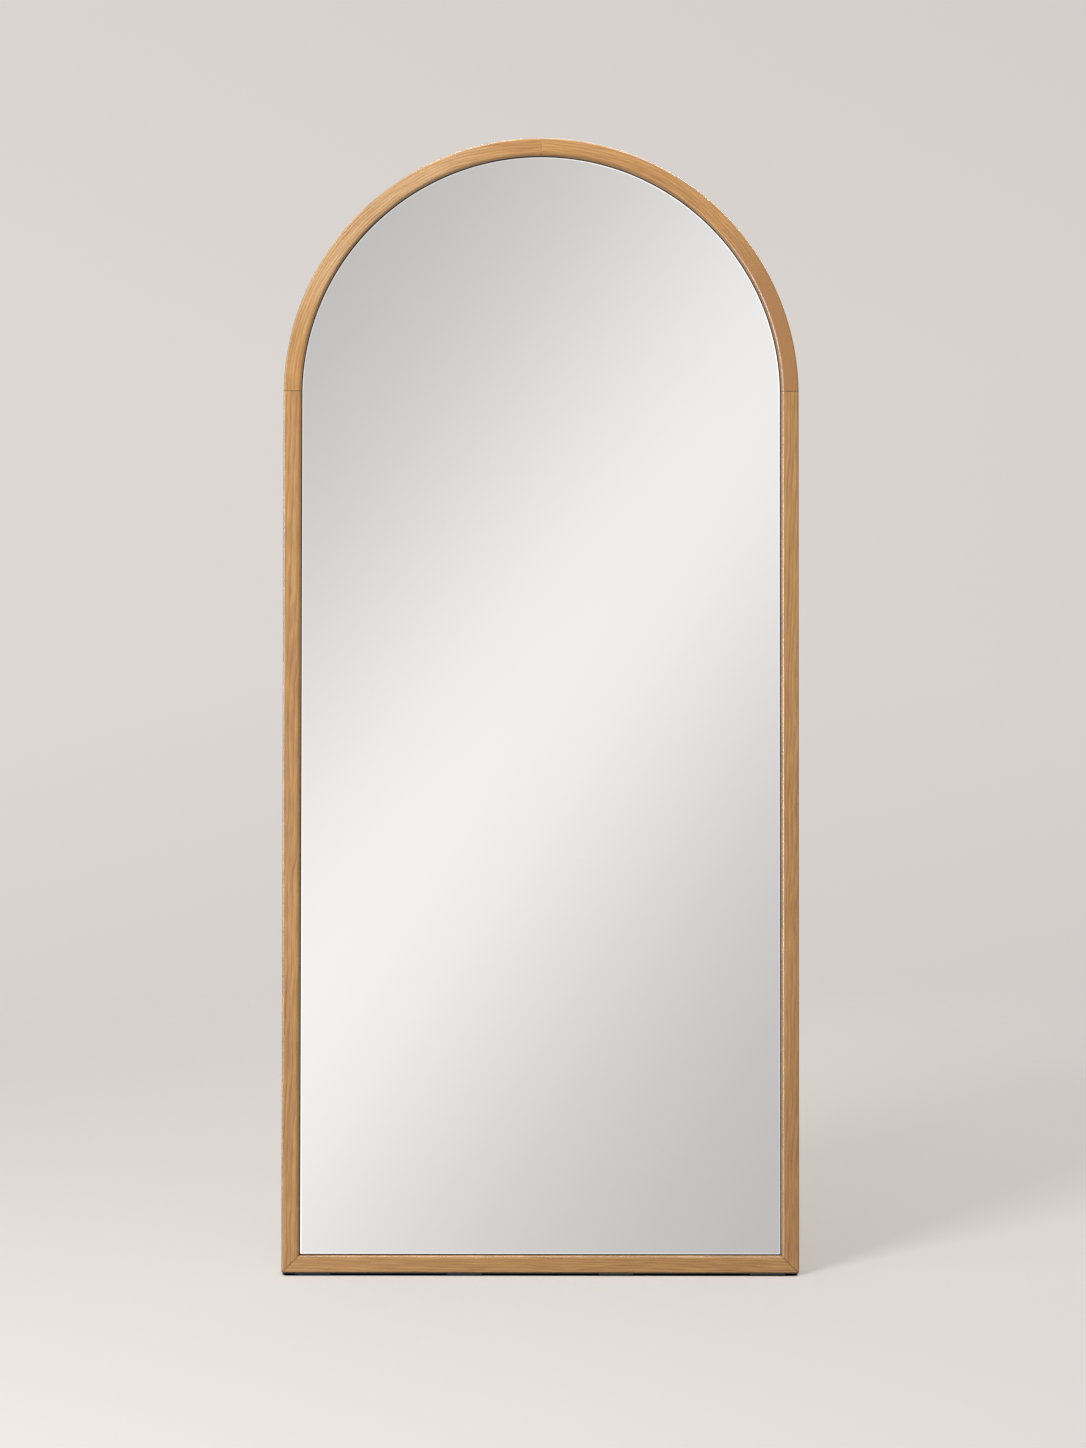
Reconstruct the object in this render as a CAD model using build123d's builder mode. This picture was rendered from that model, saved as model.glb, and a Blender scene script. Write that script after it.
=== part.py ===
from build123d import *
from math import cos, radians, sin, tan
import os

# Tall arched mirror in an oak frame. It leans back on a folding stand hinged to its back.
# The origin is on the floor at the middle of the footprint, with -Y to the front and +Z up.
# Lengths are in millimetres and angles in degrees.

# Frame
frame_width = 750
frame_height = 1650
frame_depth = 35
face_width = 26
wall_width = 20  # wood behind the lip, which leaves a rebate for the glass
lip_depth = 6.5
corner_radius = 4
outer_round = 2.5
inner_round = 5.5
back_bevel = 1
seam_rise = 5  # how far the seams lie above the point where the arch starts
joint_gap = 0.2  # glue line between the frame's pieces

# Stance
lean = 6  # the mirror leans back from upright
splay = 4.4  # the stand leans the other way
ground_gap = 0.4  # height of the frame's rear lower edge over the floor
footprint_front = -34.6  # front of the frame, measured from its rear lower edge
footprint_rear = 180.7  # back of the stand's feet, measured from the same edge

# Sheets in the rebate, from the front to the back
sheet_gap = 1  # gap between the sheets' edges and the rebate wall
glass_thickness = 4
bevel_sight = 2.5  # width of the glass bevel that shows inside the lip
bevel_drop = 1.2
film_thickness = 0.5
panel_thickness = 2.5

# Framing points
point_length = 9
point_width = 8
point_thickness = 0.5
point_gap = 0.1  # between a point and the rebate's wall
point_ups = (130, 330, 530, 730, 900, 1150)
point_acrosses = (-300, -100, 100, 300)
point_angles = (15, 45, 75, 105, 135, 165)

# Wood joints
dowel_radius = 3
dowel_length = 40
dowel_depths = (9, 23)
key_length = 18
key_width = 10
key_thickness = 4
key_depth = 12
wood_center = wall_width / 2
mitre_turn = 45

# Hinge board
board_thickness = 8
board_height = 110
board_drop = 40  # from the pivot down to the board's lower edge
board_housing = 10  # how far the board's ends reach into the stiles
board_gap = 0.3
board_screw_inset = 20
board_screw_radius = 2
board_screw_head = 4
board_screw_length = 18

# Stand
pivot_height = 1000
leg_spacing = 460
leg_width = 26
leg_thickness = 12.5
leg_edge = 2
heel_length = 45  # the leg above the pivot, bevelled so that it bears on the bracket
heel_gap = 0.3
leg_rear_gap = 0.5
notch_width = 30
notch_gap = 0.8
rung_height = 26
rung_thickness = 10
rung_drops = {"stand_rung_upper": 330, "stand_rung_lower": 760}
rung_edge = 1.5
rung_tenon = 8
rung_shoulder = 2
cap_height = 24
cap_floor = 8
cap_wall = 2

# Stand brackets and pivots
plate_width = 60
plate_low = 20
plate_high = 50
plate_thickness = 2
plate_corner = 5
plate_screw_inset = 8
plate_screw_radius = 1.75
plate_screw_head = 3.5
plate_screw_length = 7.5
ear_thickness = 2
ear_radius = 5
ear_space = 0.6  # between the leg's side and an ear, filled by the bush's flange
ear_hole = 2.6
pivot_radius = 2.5
bush_bore = 2.55
bush_radius = 3.5
flange_radius = 5
flange_thickness = 0.5
bush_split = 0.2  # gap between a leg's two bushes
head_radius = 4.5
head_thickness = 3
head_round = 1
socket_radius = 1.7
socket_depth = 1.8
nut_flats = 8
nut_thickness = 4
thread_end = 1.5

# Pads and bumpers
pad_length = 50
pad_rear = 1.5
pad_front = 26
pad_places = (-330, -110, 110, 330)
bumper_radius = 7
bumper_thickness = 3
bumper_height = 60
bumper_angle = 45  # place of the upper two on the arch

# Keyhole hangers
hanger_width = 15
hanger_height = 46
hanger_thickness = 1.5
hanger_level = 1215
hanger_corner = 3
key_hole_drop = 8  # from the plate's middle down to the round entry
entry_radius = 4.5
slot_radius = 2.3
slot_rise = 12
cavity_width = 11
cavity_height = 28
cavity_depth = 8
hanger_screw_spacing = 38
hanger_screw_radius = 1.5
hanger_screw_head = 3
hanger_screw_length = 12

# Tether bracket, a plate with a stepped tab that holds the eye
tether_width = 44
tether_height = 16
tether_thickness = 1.6
tether_reach = 10
tether_rise = 15
tether_corner = 3
tab_width = 14
tab_height = 14
tether_eye = 3
tether_screw_spacing = 30
tether_screw_radius = 1.6
tether_screw_head = 3.2
tether_screw_length = 8

os.makedirs("parts", exist_ok=True)

half_width = frame_width / 2
spring_height = frame_height - half_width
seam_height = spring_height + seam_rise
glass_front = frame_depth - lip_depth
glass_back = glass_front - glass_thickness
panel_front = glass_back - film_thickness
panel_back = panel_front - panel_thickness
board_back = panel_back - board_thickness
board_low = pivot_height - board_drop
board_middle = board_low + board_height / 2
pivot_depth = leg_rear_gap + leg_thickness / 2
pivot_offset = board_back - pivot_depth  # from the pivot forward to the brackets' plates
leg_places = {"left": -leg_spacing / 2, "right": leg_spacing / 2}
sides = {"left": -1, "right": 1}
stile_center = half_width - wood_center

# The rear plane lies on the frame's back. Its X runs to the right, its Y up the mirror and its
# Z through the mirror to the front, so that a point is (across, up, depth from the back).
rear = Plane(
    origin=(0, -(footprint_front + footprint_rear) / 2, ground_gap),
    x_dir=(1, 0, 0),
    z_dir=(0, -cos(radians(lean)), sin(radians(lean))),
)

# The stand's plane goes through the pivot. Its Y runs up the legs and its Z to their front.
stand = Plane(
    origin=rear.from_local_coords((0, pivot_height, pivot_depth)),
    x_dir=(1, 0, 0),
    z_dir=(0, -cos(radians(splay)), -sin(radians(splay))),
)
pivot_level = stand.origin.Z

seam_plane = Plane(origin=rear.from_local_coords((0, seam_height, 0)), z_dir=rear.y_dir)
crown_plane = Plane.YZ


def mitre_plane(side):
    """The 45 degree cut through a bottom corner, facing the stile."""
    return Plane(
        origin=rear.from_local_coords((side * half_width, 0, 0)),
        z_dir=rear.x_dir * side + rear.y_dir,
    )


def side_plane(base, across, up=0, depth=0):
    """A plane square to the base plane's X, with its X along the base plane's Y."""
    return Plane(
        origin=base.from_local_coords((across, up, depth)),
        x_dir=base.y_dir,
        z_dir=base.x_dir,
    )


def arch_lines(inset):
    """The frame's outline, moved inward."""
    half = half_width - inset
    Polyline((-half, spring_height), (-half, inset), (half, inset), (half, spring_height))
    CenterArc((0, spring_height), half, 0, 180)


def at(across, up, depth, base=rear):
    """A place measured on a plane, turned with it."""
    return base.location * Location((across, up, depth))


def screw(radius, head, length, mode=Mode.ADD):
    """A countersunk screw, flush with its place and driven towards the front."""
    upright = (Align.CENTER, Align.CENTER, Align.MIN)
    Cone(head, radius, head - radius, align=upright, mode=mode)
    Cylinder(radius, length, align=upright, mode=mode)
    if mode == Mode.ADD:
        recess_width = head / 4
        recess_depth = head / 3
        for turn in (0, 90):
            Box(head, recess_width, recess_depth, rotation=(0, 0, turn), align=upright, mode=Mode.SUBTRACT)


def save(builder, name):
    """Names a finished piece and writes it."""
    builder.part.label = name
    export_step(builder.part, f"parts/{name}.step")


# The whole frame before it is cut into its five pieces
through = Axis(rear.origin, rear.z_dir)
with BuildPart() as frame_blank:
    with BuildSketch(rear):
        with BuildLine():
            arch_lines(0)
        make_face()
    extrude(amount=frame_depth)
    fillet(frame_blank.edges().filter_by(through).group_by(Axis.Z)[0], corner_radius)
    with BuildSketch(rear):
        with BuildLine():
            arch_lines(face_width)
        make_face()
    extrude(amount=frame_depth, mode=Mode.SUBTRACT)
    fillet(frame_blank.faces().sort_by(through)[-1].inner_wires()[0].edges(), inner_round)
    fillet(frame_blank.faces().sort_by(through)[-1].outer_wire().edges(), outer_round)
    chamfer(frame_blank.faces().sort_by(through)[0].outer_wire().edges(), back_bevel)
    with BuildSketch(rear):
        with BuildLine():
            arch_lines(wall_width)
        make_face()
    extrude(amount=glass_front, mode=Mode.SUBTRACT)

turned_across = (0, 90, 0)
turned_along = (90, 0, 0)
crown_places = [at(0, frame_height - wood_center, depth) for depth in dowel_depths]
board_screw_ups = (board_low + board_screw_inset, board_low + board_height - board_screw_inset)
board_screw_across = half_width - wall_width + board_housing / 2
hanger_screw_ups = (hanger_level - hanger_screw_spacing / 2, hanger_level + hanger_screw_spacing / 2)
entry_up = hanger_level - key_hole_drop

for side_name, side in sides.items():
    half_of_frame = Keep.TOP if side > 0 else Keep.BOTTOM
    crown_cut = crown_plane.offset(side * joint_gap / 2)
    seam_places = [at(side * stile_center, seam_height, depth) for depth in dowel_depths]

    # Curved rails, which meet at the crown
    with BuildPart() as arch_rail:
        add(frame_blank.part)
        split(bisect_by=seam_plane.offset(joint_gap / 2), keep=Keep.TOP)
        split(bisect_by=crown_cut, keep=half_of_frame)
        with Locations(*crown_places):
            Cylinder(dowel_radius, dowel_length, rotation=turned_across, mode=Mode.SUBTRACT)
        with Locations(*seam_places):
            Cylinder(dowel_radius, dowel_length, rotation=turned_along, mode=Mode.SUBTRACT)
    save(arch_rail, f"arch_rail_{side_name}")

    # Straight stiles, cut for the mitre key, the hinge board's end and the hanger
    with BuildPart() as stile:
        add(frame_blank.part)
        split(bisect_by=seam_plane.offset(-joint_gap / 2), keep=Keep.BOTTOM)
        split(bisect_by=crown_cut, keep=half_of_frame)
        split(bisect_by=mitre_plane(side).offset(joint_gap / 2), keep=Keep.TOP)
        with Locations(*seam_places):
            Cylinder(dowel_radius, dowel_length, rotation=turned_along, mode=Mode.SUBTRACT)
        with BuildSketch(rear.offset(key_depth)):
            with Locations((side * stile_center, wood_center)):
                SlotOverall(key_length, key_width, rotation=side * mitre_turn)
        extrude(amount=key_thickness, mode=Mode.SUBTRACT)
        with Locations(at(side * board_screw_across, board_middle, panel_back / 2)):
            Box(board_housing, board_height + 2 * board_gap, panel_back, mode=Mode.SUBTRACT)
        with Locations(*[at(side * board_screw_across, up, board_back) for up in board_screw_ups]):
            screw(board_screw_radius, board_screw_head, board_screw_length, mode=Mode.SUBTRACT)
        with BuildSketch(rear):
            with Locations((side * stile_center, hanger_level)):
                RectangleRounded(hanger_width, hanger_height, hanger_corner)
        extrude(amount=hanger_thickness, mode=Mode.SUBTRACT)
        with BuildSketch(rear):
            with Locations((side * stile_center, hanger_level)):
                RectangleRounded(cavity_width, cavity_height, hanger_corner)
        extrude(amount=hanger_thickness + cavity_depth, mode=Mode.SUBTRACT)
        with Locations(*[at(side * stile_center, up, 0) for up in hanger_screw_ups]):
            screw(hanger_screw_radius, hanger_screw_head, hanger_screw_length, mode=Mode.SUBTRACT)
    save(stile, f"stile_{side_name}")

    with BuildPart() as seam_dowels:
        with Locations(*seam_places):
            Cylinder(dowel_radius, dowel_length, rotation=turned_along)
    save(seam_dowels, f"seam_dowels_{side_name}")

    # Flush steel plate with a keyhole, whose round entry takes a screw head
    with BuildPart() as hanger:
        with BuildSketch(rear):
            with Locations((side * stile_center, hanger_level)):
                RectangleRounded(hanger_width, hanger_height, hanger_corner)
            with Locations((side * stile_center, entry_up)):
                Circle(entry_radius, mode=Mode.SUBTRACT)
            with Locations((side * stile_center, entry_up + slot_rise / 2)):
                Rectangle(2 * slot_radius, slot_rise, mode=Mode.SUBTRACT)
            with Locations((side * stile_center, entry_up + slot_rise)):
                Circle(slot_radius, mode=Mode.SUBTRACT)
        extrude(amount=hanger_thickness)
        with Locations(*[at(side * stile_center, up, 0) for up in hanger_screw_ups]):
            screw(hanger_screw_radius, hanger_screw_head, hanger_screw_length, mode=Mode.SUBTRACT)
    save(hanger, f"hanger_{side_name}")

# Bottom rail, notched at the back so that the folded legs lie flush
with BuildPart() as bottom_rail:
    add(frame_blank.part)
    for side in sides.values():
        split(bisect_by=mitre_plane(side).offset(-joint_gap / 2), keep=Keep.BOTTOM)
    for side in sides.values():
        with BuildSketch(rear.offset(key_depth)):
            with Locations((side * stile_center, wood_center)):
                SlotOverall(key_length, key_width, rotation=side * mitre_turn)
        extrude(amount=key_thickness, mode=Mode.SUBTRACT)
    notch_depth = leg_rear_gap + leg_thickness + notch_gap
    with Locations(*[at(across, wall_width / 2, notch_depth / 2) for across in leg_places.values()]):
        Box(notch_width, wall_width, notch_depth, mode=Mode.SUBTRACT)
save(bottom_rail, "bottom_rail")

with BuildPart() as crown_dowels:
    with Locations(*crown_places):
        Cylinder(dowel_radius, dowel_length, rotation=turned_across)
save(crown_dowels, "crown_dowels")

with BuildPart() as mitre_keys:
    for side in sides.values():
        with BuildSketch(rear.offset(key_depth)):
            with Locations((side * stile_center, wood_center)):
                SlotOverall(key_length, key_width, rotation=side * mitre_turn)
    extrude(amount=key_thickness)
save(mitre_keys, "mitre_keys")

# Glass with a narrow bevel that runs out under the lip
sheet_inset = wall_width + sheet_gap
with BuildPart() as mirror_glass:
    with BuildSketch(rear.offset(glass_back)):
        with BuildLine():
            arch_lines(sheet_inset)
        make_face()
    extrude(amount=glass_thickness)
    glass_face = mirror_glass.faces().sort_by(through)[-1]
    bevel_width = face_width + bevel_sight - sheet_inset
    chamfer(glass_face.outer_wire().edges(), bevel_width, bevel_drop, reference=glass_face)
save(mirror_glass, "mirror_glass")

with BuildPart() as backing_film:
    with BuildSketch(rear.offset(panel_front)):
        with BuildLine():
            arch_lines(sheet_inset)
        make_face()
    extrude(amount=film_thickness)
save(backing_film, "backing_film")

with BuildPart() as back_panel:
    with BuildSketch(rear.offset(panel_back)):
        with BuildLine():
            arch_lines(sheet_inset)
        make_face()
    extrude(amount=panel_thickness)
save(back_panel, "back_panel")

# Steel tabs that stand out of the rebate's wall and hold the panel
point_level = panel_back - point_thickness / 2
point_inset = wall_width + point_gap + point_length / 2
with BuildPart() as framing_points:
    for side in sides.values():
        for up in point_ups:
            with Locations(at(side * (half_width - point_inset), up, point_level)):
                Box(point_length, point_width, point_thickness)
    for across in point_acrosses:
        with Locations(at(across, point_inset, point_level)):
            Box(point_width, point_length, point_thickness)
    for angle in point_angles:
        reach = half_width - point_inset
        across = reach * cos(radians(angle))
        up = spring_height + reach * sin(radians(angle))
        with Locations(at(across, up, point_level)):
            Box(point_length, point_width, point_thickness, rotation=(0, 0, angle))
save(framing_points, "framing_points")

# Board across the back that carries the stand
board_length = 2 * (half_width - wall_width + board_housing - board_gap)
plate_middle = pivot_height + (plate_high - plate_low) / 2
plate_height = plate_high + plate_low
plate_screw_ups = (
    pivot_height - plate_low + plate_screw_inset,
    pivot_height + plate_high - plate_screw_inset,
)
plate_screw_reach = plate_width / 2 - plate_screw_inset
tether_up = pivot_height + tether_rise
tether_level = board_back - tether_thickness
tab_level = board_back - tether_reach
tab_low = tether_up + tether_height / 2 - tether_thickness
tether_places = [at(side * tether_screw_spacing / 2, tether_up, tether_level) for side in (-1, 1)]
plate_screw_places = [
    at(across + side * plate_screw_reach, up, board_back)
    for across in leg_places.values()
    for side in (-1, 1)
    for up in plate_screw_ups
]
board_screw_places = [
    at(side * board_screw_across, up, board_back) for side in (-1, 1) for up in board_screw_ups
]
with BuildPart() as hinge_board:
    with BuildSketch(rear.offset(board_back)):
        with Locations((0, board_middle)):
            Rectangle(board_length, board_height)
    extrude(amount=board_thickness)
    with BuildSketch(rear.offset(board_back)):
        with Locations(*[(across, plate_middle) for across in leg_places.values()]):
            RectangleRounded(plate_width, plate_height, plate_corner)
    extrude(amount=plate_thickness, mode=Mode.SUBTRACT)
    with Locations(*board_screw_places):
        screw(board_screw_radius, board_screw_head, board_screw_length, mode=Mode.SUBTRACT)
    with Locations(*plate_screw_places):
        screw(plate_screw_radius, plate_screw_head, plate_screw_length, mode=Mode.SUBTRACT)
    with Locations(*tether_places):
        screw(tether_screw_radius, tether_screw_head, tether_screw_length, mode=Mode.SUBTRACT)
save(hinge_board, "hinge_board")

with BuildPart() as hinge_board_screws:
    with Locations(*board_screw_places):
        screw(board_screw_radius, board_screw_head, board_screw_length)
save(hinge_board_screws, "hinge_board_screws")

with BuildPart() as bracket_screws:
    with Locations(*plate_screw_places):
        screw(plate_screw_radius, plate_screw_head, plate_screw_length)
save(bracket_screws, "bracket_screws")

with BuildPart() as hanger_screws:
    for side in sides.values():
        with Locations(*[at(side * stile_center, up, 0) for up in hanger_screw_ups]):
            screw(hanger_screw_radius, hanger_screw_head, hanger_screw_length)
save(hanger_screws, "hanger_screws")

with BuildPart() as tether_screws:
    with Locations(*tether_places):
        screw(tether_screw_radius, tether_screw_head, tether_screw_length)
save(tether_screws, "tether_screws")

# Eye for an anti-tip strap
with BuildPart() as tether_bracket:
    with BuildSketch(rear.offset(tether_level)):
        with Locations((0, tether_up)):
            RectangleRounded(tether_width, tether_height, tether_corner)
    extrude(amount=tether_thickness)
    with BuildSketch(side_plane(rear, 0)):
        with Locations((tab_low + tether_thickness / 2, board_back - tether_reach / 2)):
            Rectangle(tether_thickness, tether_reach)
        with Locations((tab_low + tab_height / 2, tab_level + tether_thickness / 2)):
            Rectangle(tab_height, tether_thickness)
    extrude(amount=tab_width / 2, both=True)
    with Locations(at(0, tab_low + tab_height / 2, tab_level + tether_thickness / 2)):
        Cylinder(tether_eye, 2 * tether_thickness, mode=Mode.SUBTRACT)
    with Locations(*tether_places):
        screw(tether_screw_radius, tether_screw_head, tether_screw_length, mode=Mode.SUBTRACT)
save(tether_bracket, "tether_bracket")

# Stand
ear_inner = leg_width / 2 + ear_space
ear_outer = ear_inner + ear_thickness
outboard_reach = ear_outer + head_thickness
inboard_reach = ear_outer + nut_thickness + thread_end
floor_up = -pivot_level / cos(radians(splay))  # where the leg's middle line meets the floor
floor_slope = leg_thickness / 2 * tan(radians(splay))
fold = lean + splay
heel_plane_offset = pivot_offset - heel_gap
heel_start = (heel_plane_offset - leg_thickness / 2 * cos(radians(fold))) / sin(radians(fold))
heel_tip = (heel_plane_offset - heel_length * sin(radians(fold))) / cos(radians(fold))
leg_low = floor_up + cap_height
half_leg = leg_thickness / 2
tenon_length = cap_height - cap_floor
tenon_height = rung_height - 2 * rung_shoulder
tenon_thickness = rung_thickness - 2 * rung_shoulder

for side_name, side in sides.items():
    across = leg_places[side_name]
    leg_plane = side_plane(stand, across)
    pivot_plane = side_plane(rear, across, pivot_height, pivot_depth)

    # Plate let into the board, with two ears that hold the pivot bolt
    with BuildPart() as stand_bracket:
        with BuildSketch(rear.offset(board_back)):
            with Locations((across, plate_middle)):
                RectangleRounded(plate_width, plate_height, plate_corner)
        extrude(amount=plate_thickness)
        for reach in (-ear_outer, ear_inner):
            with BuildSketch(pivot_plane.offset(reach)):
                with Locations((0, pivot_offset / 2)):
                    Rectangle(2 * ear_radius, pivot_offset)
                Circle(ear_radius)
            extrude(amount=ear_thickness)
        with Locations(at(across, pivot_height, pivot_depth)):
            Cylinder(ear_hole, 2 * ear_outer, rotation=turned_across, mode=Mode.SUBTRACT)
        with Locations(*plate_screw_places):
            screw(plate_screw_radius, plate_screw_head, plate_screw_length, mode=Mode.SUBTRACT)
    save(stand_bracket, f"stand_bracket_{side_name}")

    # Bolt with its head outboard and its thread inboard
    with BuildPart() as pivot_bolt:
        with BuildSketch(pivot_plane.offset(side * ear_outer)):
            Circle(head_radius)
        extrude(amount=side * head_thickness)
        head_edges = pivot_bolt.faces().sort_by(Axis.X)[-1 if side > 0 else 0].edges()
        fillet(head_edges, head_round)
        with BuildSketch(pivot_plane.offset(side * ear_outer)):
            Circle(pivot_radius)
        extrude(amount=-side * (ear_outer + inboard_reach))
        with BuildSketch(pivot_plane.offset(side * outboard_reach)):
            RegularPolygon(socket_radius, 6)
        extrude(amount=-side * socket_depth, mode=Mode.SUBTRACT)
    save(pivot_bolt, f"pivot_bolt_{side_name}")

    with BuildPart() as pivot_nut:
        with BuildSketch(pivot_plane.offset(-side * ear_outer)):
            RegularPolygon(nut_flats / 2, 6, major_radius=False)
            Circle(pivot_radius, mode=Mode.SUBTRACT)
        extrude(amount=-side * nut_thickness)
    save(pivot_nut, f"pivot_nut_{side_name}")

    # Flanged bushes pushed in from both sides of the leg
    with BuildPart() as pivot_bush:
        for face in (-1, 1):
            with BuildSketch(leg_plane.offset(face * leg_width / 2)):
                Circle(flange_radius)
                Circle(bush_bore, mode=Mode.SUBTRACT)
            extrude(amount=face * flange_thickness)
            with BuildSketch(leg_plane.offset(face * leg_width / 2)):
                Circle(bush_radius)
                Circle(bush_bore, mode=Mode.SUBTRACT)
            extrude(amount=-face * (leg_width - bush_split) / 2)
    save(pivot_bush, f"pivot_bush_{side_name}")

    # Leg, whose heel bears on the bracket's plate when the stand is open
    with BuildPart() as stand_leg:
        with BuildSketch(leg_plane):
            with BuildLine():
                Polyline(
                    (leg_low, -half_leg),
                    (heel_length, -half_leg),
                    (heel_length, heel_tip),
                    (heel_start, half_leg),
                    (leg_low, half_leg),
                    close=True,
                )
            make_face()
        extrude(amount=leg_width / 2, both=True)
        fillet(stand_leg.edges().filter_by(Axis(stand.origin, stand.y_dir)), leg_edge)
        with Locations(at(across, leg_low - tenon_length / 2, 0, stand)):
            Box(leg_width - 2 * cap_wall, tenon_length, leg_thickness - 2 * cap_wall)
        with Locations(at(across, 0, 0, stand)):
            Cylinder(bush_radius, leg_width, rotation=turned_across, mode=Mode.SUBTRACT)
        inner_face = across - side * leg_width / 2
        with Locations(*[at(inner_face, -drop, 0, stand) for drop in rung_drops.values()]):
            Box(2 * rung_tenon, tenon_height, tenon_thickness, mode=Mode.SUBTRACT)
    save(stand_leg, f"stand_leg_{side_name}")

    # Rubber cap, cut so that it stands flat when the stand is open
    with BuildPart() as foot_cap:
        with BuildSketch(leg_plane):
            with BuildLine():
                Polyline(
                    (leg_low, -half_leg),
                    (leg_low, half_leg),
                    (floor_up + floor_slope, half_leg),
                    (floor_up - floor_slope, -half_leg),
                    close=True,
                )
            make_face()
        extrude(amount=leg_width / 2, both=True)
        fillet(foot_cap.edges().filter_by(Axis(stand.origin, stand.y_dir)), leg_edge)
        with Locations(at(across, leg_low - tenon_length / 2, 0, stand)):
            Box(leg_width - 2 * cap_wall, tenon_length, leg_thickness - 2 * cap_wall, mode=Mode.SUBTRACT)
    save(foot_cap, f"foot_cap_{side_name}")

# Rungs, tenoned into the legs
rung_length = leg_spacing - leg_width
for rung_name, drop in rung_drops.items():
    with BuildPart() as stand_rung:
        with Locations(at(0, -drop, 0, stand)):
            Box(rung_length, rung_height, rung_thickness)
        fillet(stand_rung.edges().filter_by(Axis.X), rung_edge)
        with Locations(at(0, -drop, 0, stand)):
            Box(rung_length + 2 * rung_tenon, tenon_height, tenon_thickness)
    save(stand_rung, rung_name)

# Rubber wedges that stand flat on the floor under the leaning frame
with BuildPart() as floor_pads:
    pad_back = rear.from_local_coords((0, 0, pad_rear))
    pad_nose = rear.from_local_coords((0, 0, pad_front))
    with BuildSketch(*[Plane.YZ.offset(across) for across in pad_places]):
        with BuildLine():
            Polyline(
                (pad_back.Y, 0),
                (pad_back.Y, pad_back.Z),
                (pad_nose.Y, pad_nose.Z),
                (pad_nose.Y, 0),
                close=True,
            )
        make_face()
    extrude(amount=pad_length / 2, both=True)
save(floor_pads, "floor_pads")

# Felt discs that keep the frame off a wall
bumper_across = stile_center * cos(radians(bumper_angle))
bumper_up = spring_height + stile_center * sin(radians(bumper_angle))
with BuildPart() as wall_bumpers:
    for side in sides.values():
        with Locations(
            at(side * stile_center, bumper_height, -bumper_thickness / 2),
            at(side * bumper_across, bumper_up, -bumper_thickness / 2),
        ):
            Cylinder(bumper_radius, bumper_thickness)
save(wall_bumpers, "wall_bumpers")
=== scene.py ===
import math

import bpy
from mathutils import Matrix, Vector

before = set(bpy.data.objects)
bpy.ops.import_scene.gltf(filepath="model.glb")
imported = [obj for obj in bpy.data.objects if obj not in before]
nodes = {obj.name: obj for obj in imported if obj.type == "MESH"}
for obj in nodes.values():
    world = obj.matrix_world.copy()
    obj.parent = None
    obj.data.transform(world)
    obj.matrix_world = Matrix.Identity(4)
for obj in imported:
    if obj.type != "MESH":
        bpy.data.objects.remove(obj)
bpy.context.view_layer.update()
scene = bpy.context.scene
scene.view_settings.view_transform = "Standard"
print("frame loaded,", len(nodes), "nodes")

# The mirror leans back and its stand leans forward, so grain and joints are measured on the tilted pieces.
stance = {
    "lean": math.radians(6.0),
    "splay": math.radians(4.4),
    "foot": Vector((0, -0.07305, 0.0004)),  # metres, middle of the frame's rear lower edge
    "pivot": Vector((0, 0.024765, 0.995628)),  # metres, middle of the stand's hinge
    "halfWidth": 375.0,  # millimetres, as are the sizes below
    "springHeight": 1275.0,  # where the arch starts
    "seamHeight": 1280.0,  # joint between stile and arch
    "faceWidth": 26.0,
    "boardHeight": 960.0,  # lower edge of the hinge board
}
upMirror = Vector((0, math.sin(stance["lean"]), math.cos(stance["lean"])))
outOfMirror = Vector((0, -math.cos(stance["lean"]), math.sin(stance["lean"])))
upStand = Vector((0, -math.sin(stance["splay"]), math.cos(stance["splay"])))
outOfStand = Vector((0, -math.cos(stance["splay"]), -math.sin(stance["splay"])))


class Value:
    # a socket, so that maths on it reads as an expression
    def __init__(self, graph, socket):
        self.graph = graph
        self.socket = socket

    def maths(self, operation, other=None):
        return self.graph.node("ShaderNodeMath", {"operation": operation}, {0: self, 1: other})

    def after(self, operation, other):
        return self.graph.node("ShaderNodeMath", {"operation": operation}, {0: other, 1: self})

    def __add__(self, other):
        return self.maths("ADD", other)

    def __radd__(self, other):
        return self.maths("ADD", other)

    def __sub__(self, other):
        return self.maths("SUBTRACT", other)

    def __rsub__(self, other):
        return self.after("SUBTRACT", other)

    def __mul__(self, other):
        return self.maths("MULTIPLY", other)

    def __rmul__(self, other):
        return self.maths("MULTIPLY", other)

    def __truediv__(self, other):
        return self.maths("DIVIDE", other)

    def __rtruediv__(self, other):
        return self.after("DIVIDE", other)

    def __pow__(self, other):
        return self.maths("POWER", other)

    def __abs__(self):
        return self.maths("ABSOLUTE")

    def __gt__(self, other):
        return self.maths("GREATER_THAN", other)

    def __lt__(self, other):
        return self.maths("LESS_THAN", other)


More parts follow.
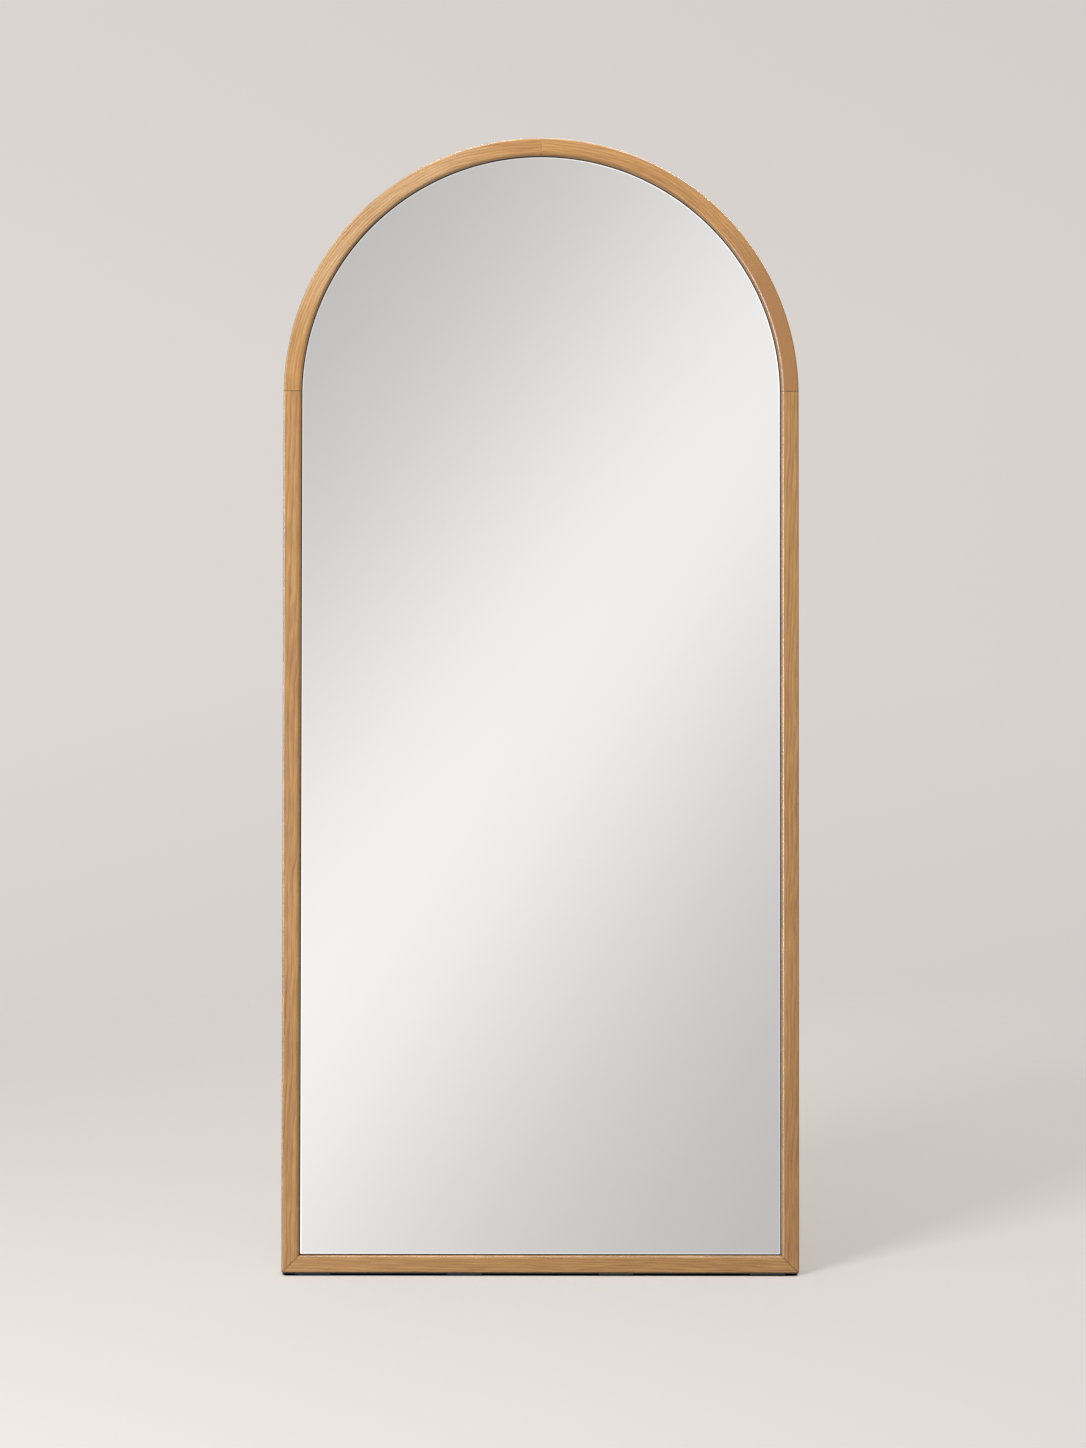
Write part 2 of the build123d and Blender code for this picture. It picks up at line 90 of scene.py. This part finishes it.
class Graph:
    # a node tree, and the ways to add to it
    def __init__(self, tree):
        self.tree = tree
        tree.nodes.clear()

    def node(self, kind, settings=None, sockets=None, out=0):
        made = self.tree.nodes.new(kind)
        for name, setting in (settings or {}).items():
            if name == "stops":
                self.fillRamp(made.color_ramp.elements, setting)
            else:
                setattr(made, name, setting)
        for name, value in (sockets or {}).items():
            if isinstance(value, Value):
                self.tree.links.new(value.socket, made.inputs[name])
            elif value is not None:
                made.inputs[name].default_value = value
        if isinstance(out, tuple):
            return [Value(self, made.outputs[name]) for name in out]
        return Value(self, made.outputs[out]) if len(made.outputs) else made

    def fillRamp(self, elements, stops):
        while len(elements) < len(stops):
            elements.new(1.0)
        for element, (place, colour) in zip(elements, stops):
            element.position = place
            element.color = (*colour, 1)

    def place(self):
        return self.node("ShaderNodeTexCoord", out="Object")

    def vector(self, operation, first, second, out=0):
        return self.node("ShaderNodeVectorMath", {"operation": operation}, {0: first, 1: second}, out)

    def dot(self, vector, direction):
        return self.vector("DOT_PRODUCT", vector, direction, "Value")

    def join(self, x, y, z):
        return self.node("ShaderNodeCombineXYZ", None, {0: x, 1: y, 2: z})

    def blend(self, factor, first, second):
        # from the first colour to the second
        first, second = [(*c, 1) if isinstance(c, tuple) else c for c in (first, second)]
        return self.node("ShaderNodeMix", {"data_type": "RGBA"}, {0: factor, 6: first, 7: second}, 2)

    def shade(self, colour, amount):
        return self.vector("MULTIPLY", colour, self.join(amount, amount, amount))

    def noise(self, x, y, z, detail=2.0, roughness=0.5):
        # cloudy value around 0.5, whose blotches are about one unit wide
        sockets = {"Vector": self.join(x, y, z), "Scale": 1.0, "Detail": detail, "Roughness": roughness}
        return self.node("ShaderNodeTexNoise", None, sockets)

    def step(self, value, low, high):
        # 0 below low and 1 above high, smooth between
        settings = {"interpolation_type": "SMOOTHSTEP"}
        return self.node("ShaderNodeMapRange", settings, {"Value": value, "From Min": low, "From Max": high})

    def finish(self, sockets, height=None, lift=0.0):
        # the surface itself; lift is the height of the bumps in metres
        if height is not None:
            bump = {"Height": height, "Distance": lift, "Strength": 1.0}
            sockets["Normal"] = self.node("ShaderNodeBump", None, bump)
        shader = self.node("ShaderNodeBsdfPrincipled", None, sockets)
        self.node("ShaderNodeOutputMaterial", None, {"Surface": shader})


def newFinish(name):
    material = bpy.data.materials.new(name)
    material.use_nodes = True
    return material, Graph(material.node_tree)


def paint(name, material):
    # gives a frame piece its finish
    mesh = nodes[name].data
    mesh.materials.clear()
    mesh.materials.append(material)


def onMirror(graph):
    # millimetres across, up and out of the mirror's back
    offset = graph.vector("SUBTRACT", graph.place(), stance["foot"])
    return [graph.dot(offset, axis * 1000) for axis in (Vector((1, 0, 0)), upMirror, outOfMirror)]


def onStand(graph):
    # millimetres across, up and out of the stand's pivot
    offset = graph.vector("SUBTRACT", graph.place(), stance["pivot"])
    return [graph.dot(offset, axis * 1000) for axis in (Vector((1, 0, 0)), upStand, outOfStand)]


def fromCentre(graph, across, up):
    # distance from the middle of the arch, or from the middle line below it
    rise = (up - stance["springHeight"]).maths("MAXIMUM", 0.0)
    return (across * across + rise * rise) ** 0.5


# How each piece of oak lies in its board: heart is the place of the tree's middle, sideways and in depth
# from the piece's own edge, taper is how fast the rings drift along it, and tone is its lightness, on the
# right stile partly painted shade for light that falls off towards the right. patch is a paler or darker
# stretch, with its middle along the arch and its reach to each side; the dark one at the arch's right end is
# partly painted shade too.
oakPieces = {
    "arch_rail_left": {"lies": "arch", "heart": (62, -12), "taper": 0.012, "shift": 310, "tone": 1.05,
                       "patch": {"middle": -280, "reach": 260, "colour": (0.72, 0.55, 0.35),
                                 "amount": 0.26}},
    # its dark patch is partly painted shade, for light that falls off towards the right
    "arch_rail_right": {"lies": "arch", "heart": (-38, -22), "taper": -0.010, "shift": 940, "tone": 1.03,
                        "patch": {"middle": 505, "reach": 230, "colour": (0.30, 0.13, 0.035),
                                  "amount": 0.75}},
    "stile_left": {"lies": "stile", "heart": (44, -34), "taper": 0.014, "shift": 1730, "tone": 1.01},
    # its lower tone is partly painted shade, for light that falls off towards the right
    "stile_right": {"lies": "stile", "heart": (-30, -30), "taper": 0.016, "shift": 3060, "tone": 0.94},
    "bottom_rail": {"lies": "rail", "heart": (-42, -16), "taper": 0.018, "shift": 4420, "tone": 0.98},
    "hinge_board": {"lies": "board", "heart": (55, -70), "taper": 0.02, "shift": 5300, "tone": 0.96},
    "stand_leg_left": {"lies": "leg", "heart": (-250, -40), "taper": 0.015, "shift": 6100, "tone": 0.98},
    "stand_leg_right": {"lies": "leg", "heart": (262, -30), "taper": 0.014, "shift": 7200, "tone": 0.95},
    "stand_rung_upper": {"lies": "rung", "heart": (-360, -32), "taper": 0.016, "shift": 8300, "tone": 0.97},
    "stand_rung_lower": {"lies": "rung", "heart": (-730, -26), "taper": 0.018, "shift": 9400, "tone": 1.0},
}
oakLook = {
    "dark": (0.215, 0.088, 0.020),
    "middle": (0.412, 0.200, 0.054),
    "light": (0.600, 0.342, 0.122),
    "ringWidth": 2.9,  # millimetres between growth rings
    "ringContrast": 0.30,
    "streakContrast": 0.75,
    "fibreContrast": 0.30,
    "cloudContrast": 0.42,
    "poreDepth": 0.26,
    "drift": {"long": 130, "wide": 34, "far": 7.0},  # how the rings wander, in millimetres
    "waver": {"long": 26, "wide": 7, "far": 1.3},
    "earlyEnd": 0.62,  # part of a ring that is porous
    "earlyWeight": 0.8,
    "lateStart": 0.8,  # and where its dense part starts
    "lateWeight": 0.5,
    "strength": {"turn": 0.37, "long": 240, "least": 0.4, "spread": 1.1},  # rings differ in strength
    "latePores": 0.35,  # how many of the pores show in dense wood
    "poreLacquer": 0.5,
    "poreRoughness": 0.2,
    "fibreRoughness": 0.16,
    "fibreLift": 0.35,
    "fibres": {"long": 22, "wide": 1.5},
    "threads": {"long": 44, "wide": 2.2, "deep": 6.0},
    "clouds": {"long": 210, "wide": 16},
    "pits": {"long": 3.2, "wide": 0.28},
    "pitEdges": (0.60, 0.68),
    "midTone": 0.56,
    "patchCore": 0.3,  # part of a patch's reach that has its full colour
    "patchGrain": 1.8,  # how much of the grain shows in a patch
    "roughness": 0.34,
    "lacquer": 0.75,
    "lacquerRoughness": 0.24,
    "lift": 0.00003,  # metres, height of the grain's relief
}


def grainSpace(graph, lies):
    # along the grain, across it and in depth, in millimetres
    if lies in ("leg", "rung"):
        across, up, deep = onStand(graph)
        return (up, across, deep) if lies == "leg" else (across, up, deep)
    across, up, deep = onMirror(graph)
    if lies == "arch":
        rise = up - stance["springHeight"]
        along = across.maths("ARCTAN2", rise) * stance["halfWidth"]
        return along, stance["halfWidth"] - fromCentre(graph, across, up), deep
    if lies == "stile":
        return up, stance["halfWidth"] - abs(across), deep
    return across, up - (stance["boardHeight"] if lies == "board" else 0), deep


# Where the frame is darker: in its fine joints, and with painted shade where the lip meets the glass and
# along its lowest edge
jointsAndPaintedShade = {
    "joint": 0.42,  # brightness in a joint
    "jointEdges": (0.15, 0.85),  # millimetres from the joint's middle, where the dark ends
    "mitreSlope": 0.7,  # the mitre runs at 45 degrees, so its distance is shorter
    "crownThinning": 1.8,  # the crown's joint shows thinner than the others
    "farAway": 1000,  # keeps the crown's line off the lower part of the frame
    "lipInset": 22.0,  # millimetres in from the outline
    "lipDepths": (29.5, 31.8),  # millimetres from the back, where the painted shade by the glass ends
    "lip": 0.75,  # how much darker the painted shade by the glass is
    "underHeights": (1.2, 2.6),  # millimetres up, where the painted shade along the lowest edge ends
    # how much darker the painted shade along the lowest edge is
    "under": 0.94,
}


def jointLines(graph):
    # 1 on the wood, less in the fine lines where the frame's pieces meet
    across, up, deep = onMirror(graph)
    seam = abs(up - stance["seamHeight"])
    mitre = abs(stance["halfWidth"] - abs(across) - up) * jointsAndPaintedShade["mitreSlope"]
    crown = abs(across) * jointsAndPaintedShade["crownThinning"] + (up < stance["springHeight"]) * jointsAndPaintedShade["farAway"]
    nearest = seam.maths("MINIMUM", mitre).maths("MINIMUM", crown)
    return jointsAndPaintedShade["joint"] + graph.step(nearest, *jointsAndPaintedShade["jointEdges"]) * (1 - jointsAndPaintedShade["joint"])


def lipShade(graph):
    # 1 on the wood, darker with painted shade where the lip meets the glass and along the frame's lowest
    # edge
    across, up, deep = onMirror(graph)
    inset = (stance["halfWidth"] - fromCentre(graph, across, up)).maths("MINIMUM", up)
    # painted shade in the recess where the lip meets the glass
    inLip = (inset > jointsAndPaintedShade["lipInset"]) * (1 - graph.step(deep, *jointsAndPaintedShade["lipDepths"]))
    # painted shade along the lowest edge, for the shade under the frame
    underside = 1 - graph.step(up, *jointsAndPaintedShade["underHeights"])
    return (1 - inLip * jointsAndPaintedShade["lip"]) * (1 - underside * jointsAndPaintedShade["under"])


def grainNoise(graph, feature, along, across, deep, detail=2.0):
    # noise stretched along the grain, as long and wide as oakLook has that feature
    size = oakLook[feature]
    depth = size.get("deep", size["wide"])
    return graph.noise(along / size["long"], across / size["wide"], deep / depth, detail)


def oak(name, piece):
    material, graph = newFinish("oak_" + name)
    place, across, deep = grainSpace(graph, piece["lies"])
    along = place + piece["shift"]
    sideways = across - piece["heart"][0]
    behind = deep - piece["heart"][1]
    drift = grainNoise(graph, "drift", along, across, deep, 1.0) * oakLook["drift"]["far"]
    waver = grainNoise(graph, "waver", along, across, deep) * oakLook["waver"]["far"]
    radius = (sideways * sideways + behind * behind) ** 0.5 + along * piece["taper"] + drift + waver
    turns = radius / oakLook["ringWidth"]
    year = turns.maths("FRACT")
    early = 1 - graph.step(year, 0.0, oakLook["earlyEnd"])
    late = graph.step(year, oakLook["lateStart"], 1.0)
    varied = oakLook["strength"]
    strength = graph.noise(turns.maths("FLOOR") * varied["turn"], along / varied["long"], 0.0, 1.0)
    rings = early * oakLook["earlyWeight"] - late * oakLook["lateWeight"]
    rings = rings * (varied["least"] + strength * varied["spread"])
    fibres = grainNoise(graph, "fibres", along, across, deep)
    threads = grainNoise(graph, "threads", along, radius, deep)
    cloud = grainNoise(graph, "clouds", along, across, deep)
    grain = (fibres - 0.5) * oakLook["fibreContrast"] + (threads - 0.5) * oakLook["streakContrast"]
    patches = (cloud - 0.5) * oakLook["cloudContrast"]
    tone = oakLook["midTone"] - rings * oakLook["ringContrast"] + grain + patches
    pits = grainNoise(graph, "pits", along, across, deep, 1.0)
    inRing = oakLook["latePores"] + early * (1 - oakLook["latePores"])
    pores = graph.step(pits, *oakLook["pitEdges"]) * inRing
    stops = [(0.0, oakLook["dark"]), (0.5, oakLook["middle"]), (1.0, oakLook["light"])]
    colour = graph.node("ShaderNodeValToRGB", {"stops": stops}, {0: tone})
    if "patch" in piece:
        patch = piece["patch"]
        core = patch["reach"] * oakLook["patchCore"]
        inPatch = 1 - graph.step(abs(place - patch["middle"]), core, patch["reach"])
        amount = inPatch * patch["amount"] * tone * oakLook["patchGrain"]
        colour = graph.blend(amount, colour, patch["colour"])
    shade = (1 - pores * oakLook["poreDepth"]) * piece["tone"]
    lacquer = 1 - pores * oakLook["poreLacquer"]
    roughness = oakLook["roughness"] + (fibres - 0.5) * oakLook["fibreRoughness"]
    if piece["lies"] in ("arch", "stile", "rail"):
        # dark joints, and painted shade by the glass and along the lowest edge, in both colour and coat
        jointsAndShadeFactor = jointLines(graph) * lipShade(graph)
        shade = shade * jointsAndShadeFactor
        lacquer = lacquer * jointsAndShadeFactor
    sockets = {
        "Base Color": graph.shade(colour, shade),
        "Roughness": roughness + pores * oakLook["poreRoughness"],
        "Specular IOR Level": 0.5,
        "Coat Weight": lacquer * oakLook["lacquer"],
        "Coat Roughness": oakLook["lacquerRoughness"],
    }
    graph.finish(sockets, fibres * oakLook["fibreLift"] - pores, oakLook["lift"])
    return material


for name, piece in oakPieces.items():
    paint(name, oak(name, piece))
print("oak pieces finished")


mirrorLook = {
    "silver": (0.938, 0.932, 0.925),
    "backPaint": (0.30, 0.31, 0.32),
    "edge": (0.20, 0.36, 0.31),
    # painted shadow: the dark brown the glass front shows next to the lip, for the shade in the gap
    "paintedGapShadow": (0.055, 0.030, 0.014),
    "gap": 1.4,  # millimetres of shadow between lip and silver
    "gapBlur": 0.2,
    "square": 0.9,  # how squarely a face has to look out of the mirror to be its front
    "roughness": 0.45,  # of the painted back and the edges
    "polish": 0.44,  # how much smoother the silver is
}


def mirrorFinish():
    material, graph = newFinish("silvered_glass")
    facing = graph.dot(graph.node("ShaderNodeTexCoord", out="Normal"), outOfMirror)
    across, up, deep = onMirror(graph)
    inset = (stance["halfWidth"] - fromCentre(graph, across, up)).maths("MINIMUM", up)
    silverStart = stance["faceWidth"] + mirrorLook["gap"]
    # the front next to the lip is painted dark as the shadow in the gap, and the silver starts past it
    inView = graph.step(inset, silverStart - mirrorLook["gapBlur"], silverStart)
    front = facing > mirrorLook["square"]
    silver = front * inView
    painted = facing < -mirrorLook["square"]
    colour = graph.blend(painted, mirrorLook["edge"], mirrorLook["backPaint"])
    colour = graph.blend(front, colour, mirrorLook["paintedGapShadow"])
    sockets = {
        "Base Color": graph.blend(silver, colour, mirrorLook["silver"]),
        "Metallic": silver,
        "Roughness": mirrorLook["roughness"] - silver * mirrorLook["polish"],
    }
    graph.finish(sockets)
    return material


paint("mirror_glass", mirrorFinish())
print("mirror finished")


plainFinishes = {
    "zinc": {"colour": (0.60, 0.61, 0.62), "metallic": 1.0, "roughness": 0.34, "mottle": 0.16,
             "grain": 0.7, "lift": 0.00002},
    "black_coat": {"colour": (0.022, 0.022, 0.023), "metallic": 0.0, "roughness": 0.46, "mottle": 0.2,
                   "grain": 0.35, "lift": 0.00004},
    "black_oxide": {"colour": (0.045, 0.044, 0.043), "metallic": 1.0, "roughness": 0.38, "mottle": 0.25,
                    "grain": 0.5, "lift": 0.00002},
    "nylon": {"colour": (0.72, 0.70, 0.65), "metallic": 0.0, "roughness": 0.42, "mottle": 0.06,
              "grain": 1.5, "lift": 0.00002},
    "rubber": {"colour": (0.028, 0.027, 0.027), "metallic": 0.0, "roughness": 0.78, "mottle": 0.22,
               "grain": 0.5, "lift": 0.00005},
    "felt": {"colour": (0.20, 0.19, 0.175), "metallic": 0.0, "roughness": 0.95, "mottle": 0.5,
             "grain": 0.45, "lift": 0.00018},
    "film": {"colour": (0.62, 0.64, 0.66), "metallic": 0.0, "roughness": 0.5, "mottle": 0.08,
             "grain": 4.0, "lift": 0.00002},
    "beech": {"colour": (0.58, 0.40, 0.25), "metallic": 0.0, "roughness": 0.6, "mottle": 0.2,
              "grain": 0.8, "lift": 0.00003},
}
wear = {
    "patchSize": 18,  # how many times wider a worn patch is than the mottling
    "patchRoughness": 0.2,
    "mottleRoughness": 0.1,
}
panelLook = {
    "dark": (0.105, 0.056, 0.027),
    "middle": (0.165, 0.094, 0.048),
    "light": (0.235, 0.142, 0.078),
    "clumps": (2.4, 1.1),  # millimetres, width and height
    "strands": (1.0, 3.2),
    "strandBends": (3, 2),
    "clouds": (90, 120),
    "weights": (0.4, 0.4, 0.35),  # of clumps, strands and clouds
    "roughness": 0.5,
    "strandRoughness": 0.25,
    "lift": 0.00006,
}


def plainFinish(name, look):
    # one colour with fine mottling, worn lighter or duller in patches
    material, graph = newFinish(name)
    x, y, z = graph.node("ShaderNodeSeparateXYZ", None, {0: graph.place()}, ("X", "Y", "Z"))
    size = look["grain"] / 1000
    fine = graph.noise(x / size, y / size, z / size, 3.0, 0.6)
    broad = graph.noise(*[part / size / wear["patchSize"] for part in (x, y, z)], 2.0)
    amount = 1 + (fine - 0.5) * look["mottle"] + (broad - 0.5) * look["mottle"]
    roughness = look["roughness"] + (broad - 0.5) * wear["patchRoughness"]
    sockets = {
        "Base Color": graph.shade(look["colour"], amount),
        "Metallic": look["metallic"],
        "Roughness": roughness + (fine - 0.5) * wear["mottleRoughness"],
    }
    graph.finish(sockets, fine, look["lift"])
    return material


def panelFinish():
    # brown hardboard, smooth, with short fibres lying every way
    material, graph = newFinish("hardboard")
    across, up, deep = onMirror(graph)
    wide, high = panelLook["clumps"]
    clumps = graph.noise(across / wide, up / high, deep, 3.0, 0.65)
    wide, high = panelLook["strands"]
    bendAcross, bendUp = panelLook["strandBends"]
    strands = graph.noise(across / wide + clumps * bendAcross, up / high + clumps * bendUp, deep, 2.0)
    wide, high = panelLook["clouds"]
    clouds = graph.noise(across / wide, up / high, deep, 2.0)
    layers = [layer * weight for layer, weight in zip((clumps, strands, clouds), panelLook["weights"])]
    tone = layers[0] + layers[1] + layers[2]
    stops = [(0.25, panelLook["dark"]), (0.6, panelLook["middle"]), (0.85, panelLook["light"])]
    colour = graph.node("ShaderNodeValToRGB", {"stops": stops}, {0: tone})
    roughness = panelLook["roughness"] + (strands - 0.5) * panelLook["strandRoughness"]
    graph.finish({"Base Color": colour, "Roughness": roughness}, tone, panelLook["lift"])
    return material


finishes = {name: plainFinish(name, look) for name, look in plainFinishes.items()}
wearers = {
    "zinc": ["framing_points", "hinge_board_screws", "pivot_bolt_left", "pivot_bolt_right", "pivot_nut_left",
             "pivot_nut_right", "hanger_left", "hanger_right", "hanger_screws"],
    "black_coat": ["stand_bracket_left", "stand_bracket_right", "tether_bracket"],
    "black_oxide": ["bracket_screws", "tether_screws"],
    "nylon": ["pivot_bush_left", "pivot_bush_right"],
    "rubber": ["foot_cap_left", "foot_cap_right", "floor_pads"],
    "felt": ["wall_bumpers"],
    "film": ["backing_film"],
    "beech": ["crown_dowels", "seam_dowels_left", "seam_dowels_right", "mitre_keys"],
}
for finish, names in wearers.items():
    for name in names:
        paint(name, finishes[finish])
paint("back_panel", panelFinish())
print("hardware and back finished")


studio = {
    "backdrop": [  # how steeply up the view looks, plus a half, and the colour seen there
        (0.0, (0.776, 0.744, 0.716)), (0.17, (0.776, 0.744, 0.716)), (0.26, (0.715, 0.680, 0.655)),
        (0.345, (0.660, 0.625, 0.596)), (0.43, (0.700, 0.664, 0.632)), (0.52, (0.700, 0.664, 0.632)),
        (0.62, (0.672, 0.639, 0.608)), (1.0, (0.672, 0.639, 0.608)),
    ],
    "sideReach": 0.2,
    "sideFall": 0.2,  # how fast the backdrop darkens to the right, up to sideReach
    "ambientHeights": (-0.35, 0.6),
    "ambientLow": (0.12, 0.115, 0.11),
    "ambientHigh": (0.34, 0.335, 0.33),
    "leftBias": 0.5,  # how much brighter the light from the left is than that from the right
    "floorRadius": 2.9,  # metres, past which only the backdrop shows
    "floorPaint": (0.92, 0.892, 0.871),
    "floorGlow": (0.316, 0.296, 0.277),
    "floorFade": (0.55, 0.98),  # parts of the radius, between which the floor fades out
    "contactReach": 0.008,  # metres, height of a gap that still darkens the floor
    "contactOpenness": (0.35, 0.62),
    "evenSideways": 0.13,  # against the lamp's nearer side, for each metre to the left
    "evenForward": 0.09,  # and for each metre to the front
}
# The soft light that the mirror shows is a bright diagonal band, darker above it to the left and below it
# to the right. Places are parts of a view direction of length one.
band = {
    "reachAcross": (-0.08, 0.08),  # where the mirror looks when seen from the front
    "reachUp": (-0.03, 0.29),
    "beyond": 0.12,  # how slowly the pattern goes on past that
    "ringMiddle": 0.13,
    "ringAcross": 0.2,
    "ringUp": 0.3,
    "ringEdges": (0.95, 1.3),
    "wavesEdges": (2.4, 3.0),
    "slopeAcross": 9.38,
    "slopeUp": -7.35,
    "offset": 1.014,
    "low": 0.394,
    "rise": 0.49,
    "fade": -0.2076,
    "reflectance": 0.93,
    "warm": (1.010, 1.0, 0.985),
    "ring": 0.6,
    "level": 0.66,
    "waves": 0.16,
    "spillCut": 0.6,  # how much less of it the wood beside the glass gets
}


def softLimit(graph, value, low, high, slope, rounding=0.03):
    # keeps a value between limits, past which it goes on slowly
    kept = graph.node("ShaderNodeMath", {"operation": "SMOOTH_MAX"}, {0: value, 1: low, 2: rounding})
    kept = graph.node("ShaderNodeMath", {"operation": "SMOOTH_MIN"}, {0: kept, 1: high, 2: rounding})
    return kept + (value - kept) * slope


def makeWorld():
    world = bpy.data.worlds.new("studio")
    world.use_nodes = True
    scene.world = world
    graph = Graph(world.node_tree)
    direction = graph.node("ShaderNodeTexCoord", out="Generated")
    x, y, z = graph.node("ShaderNodeSeparateXYZ", None, {0: direction}, ("X", "Y", "Z"))
    backdrop = graph.node("ShaderNodeValToRGB", {"stops": studio["backdrop"]}, {0: z + 0.5})
    sideways = softLimit(graph, x, -studio["sideReach"], studio["sideReach"], 0.0)
    backdrop = graph.shade(backdrop, 1 - sideways * studio["sideFall"])
    nearX = softLimit(graph, x, *band["reachAcross"], band["beyond"])
    nearZ = softLimit(graph, z, *band["reachUp"], band["beyond"])
    away = nearX * band["slopeAcross"] + nearZ * band["slopeUp"] + band["offset"]
    length = math.hypot(band["slopeAcross"], band["slopeUp"])
    alongBand = (nearZ * band["slopeAcross"] - nearX * band["slopeUp"]) / length
    light = band["low"] + band["rise"] / (away * away + 1) + alongBand * band["fade"]
    # the bevel looks aside by 18 degrees, into a brighter ring around the band
    turned = abs(x) / band["ringAcross"] + abs(z - band["ringMiddle"]) / band["ringUp"]
    ring = graph.step(turned, *band["ringEdges"])
    light = light * (1 + ring * band["ring"])
    # further round, the band repeats
    waves = (x * band["slopeAcross"] + z * band["slopeUp"]).maths("SINE") * band["waves"] + band["level"]
    far = graph.step(turned, *band["wavesEdges"])
    light = (light * (1 - far) + waves * far) / band["reflectance"]
    rays = ("Is Camera Ray", "Is Glossy Ray", "Is Transmission Ray", "Diffuse Depth")
    direct, glossy, clear, bounced = graph.node("ShaderNodeLightPath", out=rays)
    light = light * (1 - (bounced > 0.5) * band["spillCut"])
    seen = graph.shade(band["warm"], light)
    above = graph.step(z, *studio["ambientHeights"])
    ambient = graph.blend(above, studio["ambientLow"], studio["ambientHigh"])
    ambient = graph.shade(ambient, 1 - x * studio["leftBias"])
    colour = graph.blend(glossy, ambient, seen)
    colour = graph.blend(direct.maths("MAXIMUM", clear), colour, backdrop)
    background = graph.node("ShaderNodeBackground", None, {"Color": colour, "Strength": 1.0})
    graph.node("ShaderNodeOutputWorld", None, {"Surface": background})


def makeFloor():
    # a floor that fades into the backdrop all round, with painted shade in its colour and glow in the narrow
    # gap under the frame
    half = studio["floorRadius"]
    corners = [(-half, -half, 0), (half, -half, 0), (half, half, 0), (-half, half, 0)]
    mesh = bpy.data.meshes.new("floor")
    mesh.from_pydata(corners, [], [(0, 1, 2, 3)])
    floor = bpy.data.objects.new("floor", mesh)
    scene.collection.objects.link(floor)
    material, graph = newFinish("floor_paint")
    radius = graph.vector("LENGTH", graph.place(), None, "Value")
    fade = graph.step(radius, *[half * part for part in studio["floorFade"]])
    direct = graph.node("ShaderNodeLightPath", out="Is Camera Ray")
    clearance = {"Distance": studio["contactReach"]}
    openness = graph.node("ShaderNodeAmbientOcclusion", {"samples": 16}, clearance, "AO")
    # painted shade: colour and glow fall where the occlusion node finds the frame close above
    contact = graph.step(openness, *studio["contactOpenness"])
    x, y = graph.node("ShaderNodeSeparateXYZ", None, {0: graph.place()}, ("X", "Y"))
    evening = 1 + x.maths("MINIMUM", 0.0) * studio["evenSideways"]
    evening = evening + y.maths("MINIMUM", 0.0) * studio["evenForward"]
    glow = graph.shade(studio["floorGlow"], direct * contact * evening)
    sockets = {
        "Base Color": graph.shade(studio["floorPaint"], contact),
        "Roughness": 0.9,
        "Specular IOR Level": 0.0,
        "Emission Color": glow,
        "Emission Strength": 1.0,
    }
    painted = graph.node("ShaderNodeBsdfPrincipled", None, sockets)
    clear = graph.node("ShaderNodeBsdfTransparent")
    mixed = graph.node("ShaderNodeMixShader", None, {0: fade, 1: painted, 2: clear})
    graph.node("ShaderNodeOutputMaterial", None, {"Surface": mixed})
    mesh.materials.append(material)
    floor.visible_glossy = False
    floor.visible_diffuse = False
    return floor


softboxes = {
    "left_box": {"at": (-3.1, -3.78, 1.28), "towards": (0, 0, 0.7), "size": (1.6, 2.0), "power": 184,
                 "gloss": 0.75, "lightsFloor": True},
    "top_box": {"at": (0.0, -1.15, 4.0), "towards": (0, 0, 0.6), "size": (2.4, 0.8), "power": 76,
                "gloss": 1.4, "lightsFloor": False},
    "rear_box": {"at": (0.3, 3.0, 2.3), "towards": (0, 0, 0.8), "size": (1.6, 1.6), "power": 90,
                 "gloss": 1.0, "lightsFloor": False},
}


def makeLamps(floor):
    for name, box in softboxes.items():
        lamp = bpy.data.lights.new(name, "AREA")
        lamp.shape = "RECTANGLE"
        lamp.size, lamp.size_y = box["size"]
        lamp.energy = box["power"]
        lamp.specular_factor = box["gloss"]
        holder = bpy.data.objects.new(name, lamp)
        scene.collection.objects.link(holder)
        holder.location = box["at"]
        aim = Vector(box["towards"]) - Vector(box["at"])
        holder.rotation_euler = aim.to_track_quat("-Z", "Y").to_euler()
        # the glass shows only the backdrop's light, and one lamp alone casts the shadow
        spared = [nodes["mirror_glass"]] if box["lightsFloor"] else [nodes["mirror_glass"], floor]
        unlit = bpy.data.collections.new(name + "_spares")
        holder.light_linking.receiver_collection = unlit
        for piece in spared:
            unlit.objects.link(piece)
        for entry in unlit.collection_objects:
            entry.light_linking.link_state = "EXCLUDE"


camera = {
    "at": (0.0028, -5.0075, 1.2090),
    "pitch": math.radians(90 - 4.749),
    "roll": math.radians(-0.06),
    "lens": 85.6,  # millimetres, with the picture's long side as 36
}


def makeCamera():
    lens = bpy.data.cameras.new("camera")
    lens.lens = camera["lens"]
    lens.sensor_width = 36
    holder = bpy.data.objects.new("camera", lens)
    scene.collection.objects.link(holder)
    holder.location = camera["at"]
    holder.rotation_euler = (camera["pitch"], camera["roll"], 0)
    scene.camera = holder


makeWorld()
makeLamps(makeFloor())
makeCamera()
print("studio ready")
